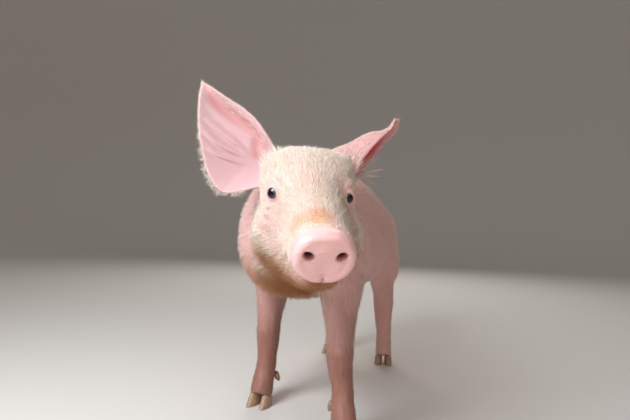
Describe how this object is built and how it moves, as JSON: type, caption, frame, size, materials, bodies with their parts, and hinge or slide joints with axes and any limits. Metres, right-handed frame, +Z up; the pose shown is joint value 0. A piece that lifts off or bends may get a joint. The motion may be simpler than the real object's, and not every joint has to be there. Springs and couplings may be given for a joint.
{
  "type": "piglet",
  "caption": "Young pink pig standing square, head turned to its left and lowered, one ear spread wide, the other folded back, tail curled.",
  "frame": {"origin": "on the floor under the middle of the animal's outer box", "axes": "-Y ahead along the animal's back, +X to the animal's left, +Z up from the floor"},
  "size_m": [0.195, 0.5692, 0.3637],
  "materials": {
    "head_skin": "matte skin under short cream bristles",
    "neck_skin": "matte skin under short cream bristles",
    "body_skin": "matte skin under short cream bristles",
    "leg_skin": "matte skin under short bristles, scuffed near the floor",
    "ear_skin": "thin soft skin, bare and rosy inside",
    "bare_snout": "bare moist skin",
    "hoof_horn": "dull horn, worn at the edge",
    "dark_eye": "wet and glossy"
  },
  "bodies": {
    "root": {"head": "head_skin", "lower_jaw": "head_skin", "snout_disc": "bare_snout", "ear_left": "ear_skin", "ear_right": "ear_skin", "eye_left": "dark_eye", "eye_right": "dark_eye", "neck": "neck_skin", "trunk": "body_skin", "tail": "body_skin", "upper_leg_fore_left": "leg_skin", "upper_leg_fore_right": "leg_skin", "upper_leg_hind_left": "leg_skin", "upper_leg_hind_right": "leg_skin", "lower_leg_fore_left": "leg_skin", "lower_leg_fore_right": "leg_skin", "lower_leg_hind_left": "leg_skin", "lower_leg_hind_right": "leg_skin", "claw_fore_left_left": "hoof_horn", "claw_fore_left_right": "hoof_horn", "claw_fore_right_left": "hoof_horn", "claw_fore_right_right": "hoof_horn", "claw_hind_left_left": "hoof_horn", "claw_hind_left_right": "hoof_horn", "claw_hind_right_left": "hoof_horn", "claw_hind_right_right": "hoof_horn", "dewclaw_fore_left_left": "hoof_horn", "dewclaw_fore_left_right": "hoof_horn", "dewclaw_fore_right_left": "hoof_horn", "dewclaw_fore_right_right": "hoof_horn", "dewclaw_hind_left_left": "hoof_horn", "dewclaw_hind_left_right": "hoof_horn", "dewclaw_hind_right_left": "hoof_horn", "dewclaw_hind_right_right": "hoof_horn"}
  },
  "joints": []
}
